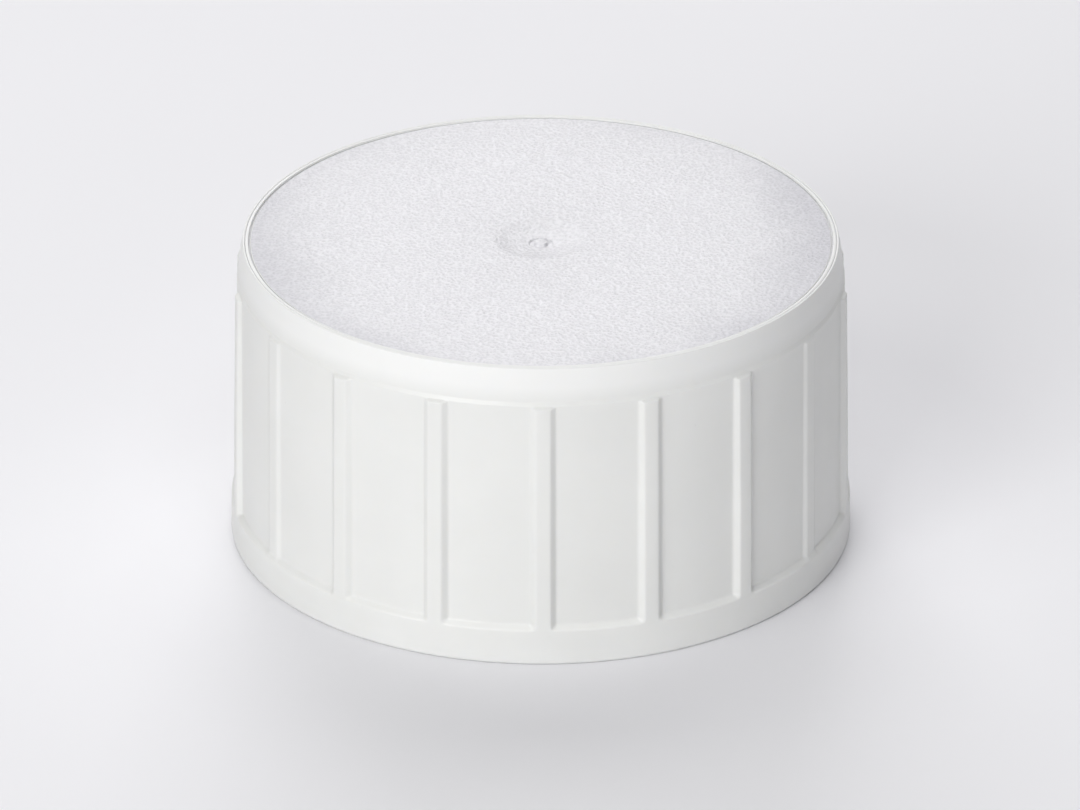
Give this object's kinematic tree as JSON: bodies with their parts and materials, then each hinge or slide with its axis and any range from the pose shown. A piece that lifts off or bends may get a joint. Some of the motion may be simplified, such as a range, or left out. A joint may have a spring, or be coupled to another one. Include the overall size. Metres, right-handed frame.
{
  "type": "screw cap",
  "caption": "Round white moulded screw cap with straight grip ribs, a plain shoulder and foot band, an internal thread and a loose faced seal disc held under its top plate by a bead.",
  "frame": {"origin": "centre of the mouth plane, on which the cap stands", "axes": "+Z along the cap's axis from the open mouth to the closed top; the front rib is on -Y, and +X is to its right"},
  "size_m": [0.054, 0.054, 0.0273],
  "materials": {
    "cap_plastic": "white moulded polypropylene, semi-gloss on the side, fine spark-eroded texture on the top",
    "seal_rubber": "smooth translucent grey-white silicone rubber",
    "seal_film": "smooth off-white fluoropolymer film with fine skive lines"
  },
  "bodies": {
    "cap": {"cap_shell": "cap_plastic"},
    "seal": {"seal_disc": "seal_rubber", "seal_facing": "seal_film"}
  },
  "joints": [
    {"name": "seal_turn", "type": "hinge", "parent": "cap", "child": "seal", "pos_m": [0, 0, 0.0232], "axis": [0, 0, 1], "continuous": true}
  ]
}
